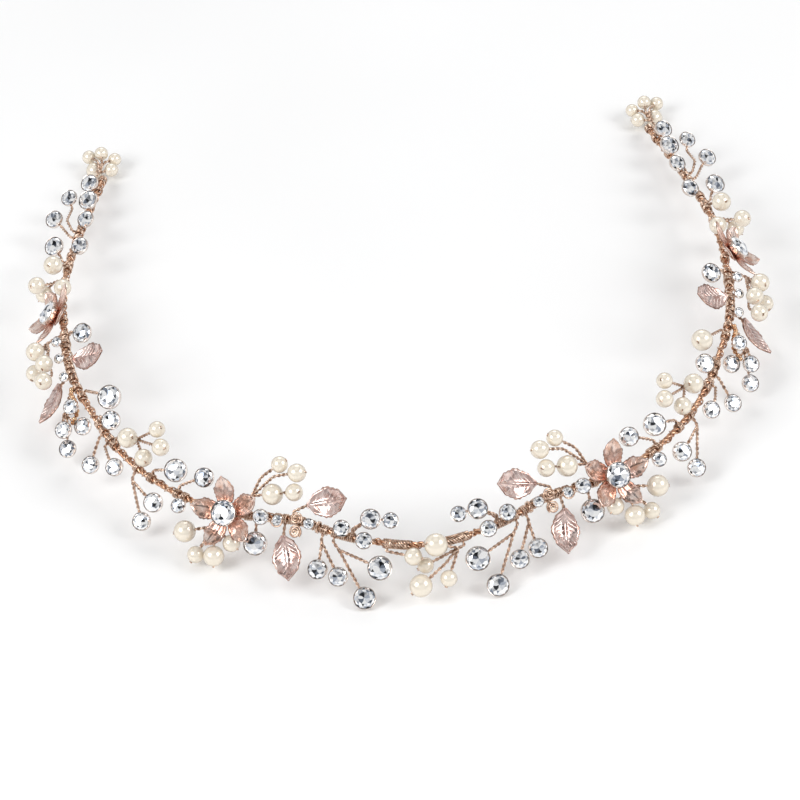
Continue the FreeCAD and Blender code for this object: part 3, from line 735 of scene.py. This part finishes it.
# %% [markdown]
# Wires run along points, and a bevelled curve makes them round. The same helper draws the
# rolled rim and the raised veins of a sheet, because on the real leaf they also read as fine
# bright or dark lines. They could be painted in a colour, but then they would catch no light.
# Pieces of several meshes are joined into one at the end.


# %% wires, rims and veins
RIM_STEPS = 24
# Shares of the half width where a slanting vein has its points
VEIN_SHARES = (0.1, 0.3, 0.5, 0.7, 0.88)


def wires(name, runs, thick, material):
    """Round wires along runs of points in millimetres: one mesh, a closed tube for each run."""
    fresh_selection()
    bpy.ops.curve.primitive_nurbs_path_add()
    piece = bpy.context.object
    piece.name = name
    shape = piece.data
    shape.splines.clear()
    for run in runs:
        spline = shape.splines.new("POLY")
        spline.points.add(len(run) - 1)
        spline.points.foreach_set("co", [v for p in run for v in (p.x * MM, p.y * MM, p.z * MM, 1.0)])
    shape.bevel_depth = thick * MM
    shape.bevel_resolution = 1
    shape.use_fill_caps = True
    bpy.ops.object.convert(target="MESH")
    piece = bpy.context.object
    bpy.ops.object.shade_smooth()
    piece.data.materials.clear()
    piece.data.materials.append(material)
    return piece


def sheet_outline(sheet, high):
    """The rim of a stamped sheet as a closed run of points."""
    rim = []
    for sign in (1, -1):
        spots = [k / RIM_STEPS for k in range(RIM_STEPS + 1)]
        for share in (spots if sign > 0 else spots[::-1]):
            along = share * sheet["long"]
            wide = curve_value(sheet["stations"], share) * scallop(share * RIM_STEPS)
            rise = bow(sheet, along - sheet["lowest"]) + bow(sheet, wide)
            rim.append(Vector((along, sign * wide, rise + high)))
    return rim


def sheet_veins(sheet, pairs):
    """Raised veins: one along the middle, and pairs that slant from it towards the rim."""
    long = sheet["long"]
    midrib = []
    for k in range(1, 12):
        rise = bow(sheet, long * k / 12 - sheet["lowest"])
        midrib.append(Vector((long * k / 12, 0, rise + 0.12 + 0.5 * sheet["rib"])))
    runs = [midrib]
    for k in range(1, pairs + 1):
        for sign in (1, -1):
            run = []
            for share in VEIN_SHARES:
                along = long * (k / (pairs + 2) + 0.24 * share)
                rise = bow(sheet, along - sheet["lowest"]) + bow(sheet, share * sheet["half"])
                wide = curve_value(sheet["stations"], along / long)
                high = rise + 0.13 + 0.4 * sheet["rib"] * (1 - share) ** 4
                run.append(Vector((along, sign * share * wide, high)))
            runs.append(run)
    return runs


def joined(parts, name):
    """Several meshes as one piece."""
    fresh_selection()
    for part in parts:
        part.select_set(True)
    bpy.context.view_layer.objects.active = parts[0]
    if len(parts) > 1:
        bpy.ops.object.join()
    parts[0].name = name
    return parts[0]


print("points along each side of a rim", RIM_STEPS + 1)

# %% [markdown]
# The leaf is widest near its middle and bent like a shallow boat, with a strong midrib and
# seven pairs of veins.

# %% leaf
leaf_half = LEAF_WIDE / 2
LEAF_SHEET = {
    "long": LEAF_LONG, "half": leaf_half, "bow_r": 11.3, "lowest": 4.5, "rib": 0.42,
    "stations": [(0.0, 0.3), (0.2, 0.7 * leaf_half), (0.48, leaf_half), (0.76, 0.72 * leaf_half),
                 (1.0, 0.05)],
}
leaf_blade = pressed("leaf_blade", LEAF_SHEET, 24, 12, 0.08, LEAF_PLATE)
leaf_rim = wires("leaf_rim", [sheet_outline(LEAF_SHEET, 0.05)], 0.15, LEAF_EDGE)
leaf_veins = wires("leaf_veins", sheet_veins(LEAF_SHEET, 7), 0.1, VEIN_PAINTED_HIGHLIGHT)
leaf_master = joined([leaf_blade, leaf_rim, leaf_veins], "leaf_master")
print("leaf", [round(v / MM, 1) for v in leaf_master.dimensions], "mm")

# %% [markdown]
# The petal is broader towards its tip and rises from the heart of the flower. Five of them
# overlap a little, as on the real flower.

# %% petal
petal_half = PETAL_WIDE / 2
PETAL_SHEET = {
    "long": PETAL_REACH - PETAL_START, "half": petal_half, "bow_r": 8.3, "lowest": 1.5, "rib": 0.26,
    "stations": [(0.0, 0.9), (0.35, 0.86 * petal_half), (0.62, petal_half), (0.84, 0.62 * petal_half),
                 (1.0, 0.05)],
}
petal_blade = pressed("petal_blade", PETAL_SHEET, 18, 8, 0.07, PETAL_PLATE)
petal_rim = wires("petal_rim", [sheet_outline(PETAL_SHEET, 0.04)], 0.11, LEAF_EDGE)
petal_veins = wires("petal_veins", sheet_veins(PETAL_SHEET, 5), 0.08, PETAL_PLATE)
petal_master = joined([petal_blade, petal_rim, petal_veins], "petal_master")
print("petal", [round(v / MM, 1) for v in petal_master.dimensions], "mm")

# %% [markdown]
# The seed beads are so small that a coarse ball is enough. Every copy then gets its own mesh,
# so that it can be joined with the wire that carries it.


# %% seed bead and copies
SEED_R = 0.55
fresh_selection()
bpy.ops.mesh.primitive_uv_sphere_add(segments=10, ring_count=6, radius=SEED_R * MM)
seed_master = bpy.context.object
seed_master.data.materials.append(SEED_GOLD)
bpy.ops.object.shade_smooth()
masters = [stone_master, cup_master, pearl_master, leaf_master, petal_master, seed_master]
print("triangles of the masters", [sum(len(f.vertices) - 2 for f in m.data.polygons) for m in masters])


def copy_to(master, matrix):
    """A copy with its own mesh, moved to its place."""
    copy = master.copy()
    copy.data = master.data.copy()
    bpy.context.collection.objects.link(copy)
    copy.data.transform(matrix)
    return copy


# %% [markdown]
# Twisted wire gives the vine its look. A stem is a pair of thin wires and the rope has three
# plies, each wound round the same path. A normal map on a tube would be lighter, but the gaps
# between the plies show in the outline, so the strands are modelled. Wraps are turns of the
# same thin wire round the rope.


# %% twisted wire and wraps
STEPS_PER_TURN = 14
FEWEST_STEPS = 24
# The wrap where a stem is wound on: length along the rope, distance off it, turns
WRAP_LONG = 1.5
WRAP_WALL = 0.13
WRAP_TURNS = 3.3


def lengths_step(spots):
    """The even step of a resampled path."""
    return (spots[1] - spots[0]).length


def twisted(path, count, offset, pitch, step, phase=0.0):
    """Strands that wind round a path."""
    spots = even(path, step)
    heading = (spots[1] - spots[0]).normalized()
    across = heading.orthogonal().normalized()
    runs = [[] for _ in range(count)]
    for k, spot in enumerate(spots):
        ahead = (spots[min(k + 1, len(spots) - 1)] - spots[max(k - 1, 0)]).normalized()
        across = (across - ahead * across.dot(ahead)).normalized()
        sideways = ahead.cross(across)
        gone = lengths_step(spots) * k
        for strand in range(count):
            angle = phase + 2 * math.pi * (gone / pitch + strand / count)
            runs[strand].append(spot + (across * math.cos(angle) + sideways * math.sin(angle)) * offset)
    return runs


def coil(along, long, wall, turns, lean=0.0):
    """Turns of wire wound round the main wire."""
    run = []
    steps = max(FEWEST_STEPS, int(abs(turns) * STEPS_PER_TURN))
    for k in range(steps + 1):
        share = k / steps
        point, slope, _, away = on_wire(along - long / 2 + long * share)
        across = slope.cross(away).normalized()
        angle = 2 * math.pi * turns * share + lean
        reach = WIRE_R + CLEAR + wall
        run.append(point + (away * math.cos(angle) + across * math.sin(angle)) * reach)
    return run


def wrap(root):
    """The turns where a stem is wound on to the main wire."""
    return coil(root, WRAP_LONG, WRAP_WALL, WRAP_TURNS)


def spiral(centre, facing, ahead, reach, turns):
    """A spiral of wire about a centre, a little domed."""
    matrix = seat(centre, facing, ahead)
    steps = int(turns * STEPS_PER_TURN)
    inner = 0.2
    dome = 0.35
    run = []
    for k in range(steps + 1):
        angle = 2 * math.pi * turns * k / steps
        away = inner + (reach - inner) * k / steps
        high = dome * (1 - k / steps)
        run.append(matrix @ (Vector((away * math.cos(angle), away * math.sin(angle), high)) * MM) / MM)
    return run


print("points of a wrap", len(wrap(0.0)))

# %% [markdown]
# Facets get painted reflections at random, most of them white, some grey and a few nearly black,
# so that no stone is like the next. The flat top of a stone gets broad wedges of painted
# reflection, which stand for how the lower facets look through it.

# %% facets
# Painted reflections of the facets: white, grey and nearly black tints, with their shares
PAINTED_FACET_REFLECTIONS = [("#ffffff", 13), ("#eceef2", 6), ("#c6ccd6", 4), ("#7c8593", 2), ("#0d0f14", 1)]
painted_reflection_bag = [code for code, share in PAINTED_FACET_REFLECTIONS for _ in range(share)]
# Inside this radius of the master, the flat top of the stone gets broad wedges of painted reflection
TABLE_R = 0.95
WEDGES = 7
# Painted reflections of the lower facets, seen through the flat top
PAINTED_TABLE_WEDGES = ["#ffffff", "#f6f7f9", "#e3e6ec", "#b4bbc7", "#6d7583", "#ffffff", "#202329"]
dice = random.Random(7)
# Chance that a facet takes a new painted reflection instead of its neighbour's
NEW_TINT = 0.72


def stone_copy(matrix):
    """A cut stone in its place, with its own painted facet reflections."""
    stone = copy_to(stone_master, matrix)
    tints = stone.data.color_attributes.new("facet", "FLOAT_COLOR", "CORNER")
    tint = linear(painted_reflection_bag[0])
    painted_wedges = [linear(code) for code in dice.sample(PAINTED_TABLE_WEDGES, WEDGES)]
    for face, drawn in zip(stone.data.polygons, stone_master.data.polygons):
        if dice.random() < NEW_TINT:
            tint = linear(dice.choice(painted_reflection_bag))
        spot = drawn.center / MM
        share = math.atan2(spot.y, spot.x) / (2 * math.pi) + 0.5
        flat_top = spot.z > 0 and math.hypot(spot.x, spot.y) < TABLE_R
        for corner in face.loop_indices:
            tints.data[corner].color = painted_wedges[int(share * WEDGES) % WEDGES] if flat_top else tint
    return stone


print("tints to draw from", len(painted_reflection_bag))

# %% [markdown]
# A stem leaves the rope at a right angle, like wire that is wound on and then bent up. It ends
# inside a pearl's drilled hole, under a cup as a post, or against the side of a cup.


# %% stems and jewels
# Where a stem starts and where it may first bend, from the surface of the rope
FOOT_START = 0.2
FOOT_BEND = 1.2
# A run shorter than this is drawn straight
SHORT_RUN = 0.8
# Depth of a stone below its girdle, as a share of its radius
STONE_DEPTH = 0.58
PAST_PEARL = 0.2
INTO_CUP = 0.1
BELOW_GIRDLE = 0.55


def stem_foot(root, target):
    """Two points that lead a stem square off the main wire."""
    point, slope, _, _ = on_wire(root)
    aim = target - point
    aim = (aim - slope * aim.dot(slope)).normalized()
    return [point + aim * (WIRE_R + FOOT_START), point + aim * (WIRE_R + FOOT_BEND)]


def cup_depth(radius):
    """Depth of a cup below its stone's girdle."""
    return STONE_DEPTH * radius + CLEAR + CUP_BACK


def jewel(row, lead, metal_parts, jewel_parts, runs):
    """One crystal or pearl with its stem."""
    centre = spot_of(row)
    radius = row["wide"] / 2
    ahead = on_wire(row["along"])[2]
    if row["pearl"]:
        come = (centre - lead[-1]).normalized()
        runs.append(lead + [centre + come * (radius + PAST_PEARL)])
        jewel_parts.append(copy_to(pearl_master, seat(centre, come, ahead, radius / MASTER_R)))
        return
    facing = stone_facing(row["along"])
    jewel_parts.append(stone_copy(seat(centre, facing, ahead, radius / MASTER_R)))
    metal_parts.append(copy_to(cup_master, seat(centre, facing, ahead, radius / MASTER_R)))
    if row["post"]:
        back = centre - facing * (cup_depth(radius) + INTO_CUP)
        runs.append(lead + [back] if row["via"] else [lead[0], back])
        return
    level = centre - facing * BELOW_GIRDLE
    come = level - lead[-1]
    come = (come - facing * come.dot(facing)).normalized()
    end = level - come * (radius + INTO_CUP)
    near = end - come
    runs.append(lead + [near, end] if (near - lead[-1]).length > SHORT_RUN else [lead[0], end])


print("a 4 mm stone sits in a cup", round(cup_depth(2.0), 2), "mm deep")

# %% [markdown]
# One sprig after another, as charted. Each adds its stems, cups, stones and pearls to the lists
# of its nodes. The stems of a node are turned into twisted pairs together, once its list is
# full, because one curve with many runs is much faster than many curves.


# %% sprigs and their stem wire
# A twisted pair: distance of each strand from the axis, length of a turn, step, strand radius
PAIR_OFFSET = 0.2
PAIR_PITCH = 2.3
PAIR_STEP = 0.2
STRAND_R = 0.19
# Each stem starts its twist at another angle
PHASE_STEP = 0.7


def sprig(chart, metal_parts, jewel_parts, runs, coils):
    """All stems and jewels of one sprig."""
    rows = chart["rows"]
    coils.append(wrap(rows[0]["root"]))
    split = None
    if "fork" in chart:
        split = place(*chart["fork"])
        trunk = [place(*spot) for spot in chart.get("trunk", [])]
        lead = stem_foot(rows[0]["root"], trunk[0] if trunk else split)
        short = (split - lead[-1]).length < SHORT_RUN
        runs.append([lead[0], split] if short else lead + trunk + [split])
    for row in rows:
        via = [place(*spot) for spot in row["via"]]
        if split is not None and not row["direct"]:
            lead = [split] + via
        else:
            lead = stem_foot(row["root"], via[0] if via else spot_of(row)) + via
        jewel(row, lead, metal_parts, jewel_parts, runs)


def stem_mesh(name, runs, coils):
    """The twisted pairs and coils of one node."""
    pairs = []
    for n, run in enumerate(runs):
        path = rounded(run, STEM_BEND, 4)
        pairs += twisted(path, 2, PAIR_OFFSET, PAIR_PITCH, PAIR_STEP, n * PHASE_STEP)
    parts = [wires(name, pairs, STRAND_R, THIN_WIRE)]
    if coils:
        parts.append(wires(name + "_coils", coils, STRAND_R, THIN_WIRE))
    return parts


print("a stem is", 2 * (PAIR_OFFSET + STRAND_R), "mm thick over both strands")

# %% [markdown]
# The rosettes are spirals of wire on the rope, with a second, reversed spiral behind the first.
# A tiny crystal beside them has a single ring of wire round it. The seed beads follow the trunk
# of the side sprig.


# %% rosettes, loose turns and seed beads
GEM_RING = 1.85


def add_rosettes(lists, runs, coils):
    """The rosettes of the front spray, and the small crystal beside them."""
    node = "front_spray_wires"
    centre = spot_of(ROSETTE_GEM)
    face = band_face(ROSETTE_GEM["along"])
    ahead = on_wire(ROSETTE_GEM["along"])[2]
    lead = stem_foot(ROSETTE_GEM["root"], centre)
    jewel(ROSETTE_GEM, lead, lists[node], lists["front_spray_crystals"], runs[node])
    coils[node].append(wrap(ROSETTE_GEM["root"]))
    # The ring starts a few points in, where the spiral is already wide
    coils[node].append(spiral(centre - face * 0.3, face, ahead, GEM_RING, 1.0)[5:])
    for row in ROSETTES:
        centre = spot_of(row)
        facing = band_face(row["along"])
        ahead = on_wire(row["along"])[2]
        coils[node].append(spiral(centre, facing, ahead, row["ring"] + 0.5, 2.6))
        coils[node].append(spiral(centre - facing * 0.25, facing, ahead * -1, row["ring"] + 0.4, 1.5))
        runs[node].append([on_wire(row["root"])[0], centre])
    coils[node].append(wrap(ROSETTES[0]["root"]))


def add_loose_turns(coils):
    """Two turns of wire at each bare spot of the rope."""
    for node, along, long, wall in LOOSE_TURNS:
        coils[node].append(coil(along, long, wall, 2))


def add_seeds(lists):
    """The seed beads beside the trunk of the side sprig."""
    for spot in even([place(*spot) for spot in SEED_STRING], SEED_STEP):
        lists["side_sprig_wires"].append(copy_to(seed_master, Matrix.Translation(spot * MM)))


print("seed beads on a sprig", len(even([place(*spot) for spot in SEED_STRING], SEED_STEP)))

# %% [markdown]
# A leaf lies along the line from its base to its tip and turns its face out of the band. Its
# stem runs a little way under the blade. A flower stands on a post. Its petals start under the
# cup of its stone, which hides where they meet.


# %% leaves and flowers
# A leaf's stem is charted this far before and beyond the base
STEM_BEFORE_LEAF = 0.4
STEM_UNDER_LEAF = 1.2
# The blade lies lower than its charted base, and then clear of its stem
LEAF_DROP = 0.6
LEAF_LIFT = 0.22
# The flower's stone and cup are this much wider than the charted stone
FLOWER_FIT = 1.06
FLOWER_FOOT = 0.9
PETAL_DROP = 0.18


def add_leaves(lists, runs, coils):
    """The stamped leaves with their stems and wraps."""
    for row in LEAVES:
        name = row["name"]
        base = place(*row["base"])
        aim = (place(*row["tip"]) - base).normalized()
        facing = band_face(row["root"])
        square = (facing - aim * facing.dot(aim)).normalized()
        foot = stem_foot(row["root"], base)
        stem = [foot[0], foot[1], base - aim * STEM_BEFORE_LEAF, base + aim * STEM_UNDER_LEAF]
        runs.setdefault(name, []).append(stem)
        coils.setdefault(name, []).append(wrap(row["root"]))
        spot = base - facing * LEAF_DROP + square * LEAF_LIFT
        lists.setdefault(name, []).append(copy_to(leaf_master, seat(spot, square, aim)))


def add_flowers(lists, runs, coils):
    """The flowers: a stone in its cup, petals round it, and a post down to the rope."""
    radius = FLOWER_STONE / 2
    deck = -cup_depth(radius)
    for name, root in FLOWERS:
        facing = band_face(root)
        ahead = on_wire(root)[2]
        centre = on_wire(root)[0] + facing * FLOWER_RISE
        head = seat(centre, facing, ahead)
        stone_seat = seat(centre, facing, ahead, FLOWER_FIT * radius / MASTER_R)
        parts = lists.setdefault(name, [])
        parts.append(copy_to(cup_master, stone_seat))
        for k in range(PETALS):
            turn = Matrix.Rotation(2 * math.pi * k / PETALS, 4, "Z")
            shift = Matrix.Translation(Vector((PETAL_START, 0, deck - PETAL_DROP)) * MM)
            parts.append(copy_to(petal_master, head @ turn @ shift))
        post = [on_wire(root)[0] + facing * FLOWER_FOOT, centre + facing * (deck - INTO_CUP)]
        runs.setdefault(name, []).append(post)
        coils.setdefault(name, []).append(wrap(root))
        lists[name + "_crystal"] = [stone_copy(stone_seat)]


print("in each half: petals", PETALS * len(FLOWERS), "leaves", len(LEAVES))

# %% [markdown]
# Both halves are built as right halves, and the left one is then mirrored. A mirror modifier
# would copy the painted reflections of the stones too, and the two sides would flash alike.


# %% both halves
def build_side(side):
    """The pieces of one half, by the name of their node."""
    lists = {}
    runs = {}
    coils = {}
    for chart in SPRIGS + [MIXED_BEAD if side == "right" else MIXED_GEM]:
        metal_node = chart["metal"]
        sprig(chart, lists.setdefault(metal_node, []), lists.setdefault(chart["jewels"], []),
              runs.setdefault(metal_node, []), coils.setdefault(metal_node, []))
    add_rosettes(lists, runs, coils)
    add_loose_turns(coils)
    add_seeds(lists)
    add_leaves(lists, runs, coils)
    add_flowers(lists, runs, coils)
    made = {}
    for name, parts in lists.items():
        if name in runs:
            parts = parts + stem_mesh(name, runs[name], coils[name])
        piece = joined(parts, name + "_" + side + "_look")
        if side == "left":
            piece.data.transform(Matrix.Scale(-1, 4, Vector((1, 0, 0))))
            piece.data.flip_normals()
        made[name + "_" + side] = piece
    return made


pieces = build_side("right")
pieces.update(build_side("left"))
print("half pieces", len(pieces))

# %% [markdown]
# The centre is a cluster of pearls between two dense, slanting wraps, in which thin wires lie
# side by side and each makes a single turn.

# %% centre
WRAP_WIRES = 8
DENSE_SPOTS = (-6.6, 6.4)
DENSE_LONG = 5.6
DENSE_WALL = 0.06
DENSE_TURNS = 1.1
centre_lists = {"wires": [], "pearls": []}
centre_runs = []
centre_coils = []
for spot in DENSE_SPOTS:
    for k in range(WRAP_WIRES):
        lean = 2 * math.pi * k / WRAP_WIRES
        centre_coils.append(coil(spot, DENSE_LONG, DENSE_WALL, DENSE_TURNS, lean))
for chart in CENTRE:
    sprig(chart, centre_lists["wires"], centre_lists["pearls"], centre_runs, centre_coils)
pieces["centre_pearls"] = joined(centre_lists["pearls"], "centre_pearls_look")
centre_parts = stem_mesh("centre_wires", centre_runs, centre_coils)
pieces["centre_wires"] = joined(centre_parts, "centre_wires_look")
print("wires of the dense wraps", WRAP_WIRES * len(DENSE_SPOTS))

# %% [markdown]
# The main wire is a rope of three plies, with a thin wire wound loosely round it against its
# lay. That second wire breaks up the even pattern, which is what makes the real rope look
# handmade.

# %% rope
PLIES = 3
PLY_OFFSET = 0.41
PLY_PITCH = 4.2
PLY_STEP = 0.25
PLY_R = 0.31
WINDING_PITCH = 3.6
WINDING_WALL = 0.02
WINDING_R = 0.17
rope = wires("rope", twisted(route, PLIES, PLY_OFFSET, PLY_PITCH, PLY_STEP), PLY_R, ROPE)
# The winding stops a millimetre before each end
rope_long = route_marks[-1] - 2.0
winding_run = coil(0.0, rope_long, WINDING_WALL, -rope_long / WINDING_PITCH)
winding = wires("winding", [winding_run], WINDING_R, THIN_WIRE)
pieces["main_wire"] = joined([rope, winding], "main_wire_look")
print("main wire triangles", sum(len(f.vertices) - 2 for f in pieces["main_wire"].data.polygons))

# %% [markdown]
# Every piece rides on the one body, because bent wire has no joint. It stands for its CAD node,
# which is hidden. The masters have done their work and are removed.

# %% declarations
for node, piece in pieces.items():
    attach(piece, "root")
    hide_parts(node)
for master in masters:
    bpy.data.objects.remove(master, do_unlink=True)
triangles = sum(len(f.vertices) - 2 for p in pieces.values() for f in p.data.polygons)
print("pieces", len(pieces), "triangles", triangles)

# %% [markdown]
# Polished metal and stones show what stands round them, so the sky matters as much as the
# lamps. It is pale, with a darker low band and a dark high one for the stones to mirror. Three
# soft windows give the highlights. One strong lamp would be simpler, but it would burn out the
# pearls and leave black shadows.

# %% studio
fresh_selection()
bpy.ops.mesh.primitive_plane_add(size=12)
floor = bpy.context.object
floor.name = "studio_floor"
floor.data.materials.append(floor_paint)

world = bpy.data.worlds.new("studio")
bpy.context.scene.world = world
world.use_nodes = True
sky = world.node_tree
direction = add(sky, "ShaderNodeTexCoord")
split = add(sky, "ShaderNodeSeparateXYZ", [(direction, "Generated", "Vector")])
band = add(sky, "ShaderNodeValToRGB", [(split, "Z", "Fac")])
# The sky from the horizon up, as height and colour
BANDS = [(0.0, "#b4b6ba"), (0.1, "#9ea1a6"), (0.2, "#ffffff"), (0.74, "#ffffff"), (0.8, "#3c4048"),
         (0.87, "#3c4048"), (0.93, "#ffffff")]
while len(band.color_ramp.elements) < len(BANDS):
    band.color_ramp.elements.new(0.5)
for element, (spot, code) in zip(band.color_ramp.elements, BANDS):
    element.position = spot
    element.color = linear(code)
sky.links.new(band.outputs["Color"], sky.nodes["Background"].inputs["Color"])
SKY_STRENGTH = 0.55
sky.nodes["Background"].inputs["Strength"].default_value = SKY_STRENGTH

# Name, place, width in metres and power in watts
WINDOWS = [
    ("left window", (-0.75, -0.45, 0.75), 0.55, 4.2),
    ("right window", (0.8, -0.35, 0.7), 0.5, 3.2),
    ("back window", (0.1, 0.9, 0.9), 0.6, 1.6),
]
LAMP_AIM = Vector((0, 0, 0.01))
for name, spot, size, watts in WINDOWS:
    bpy.ops.object.light_add(type="AREA", location=spot)
    lamp = bpy.context.object
    lamp.name = name
    lamp.data.size = size
    lamp.data.energy = watts
    lamp.rotation_euler = (LAMP_AIM - Vector(spot)).to_track_quat("-Z", "Y").to_euler()
bpy.context.scene.view_settings.view_transform = "Standard"
bpy.context.scene.view_settings.exposure = 0.4
print("lamps", len(WINDOWS))
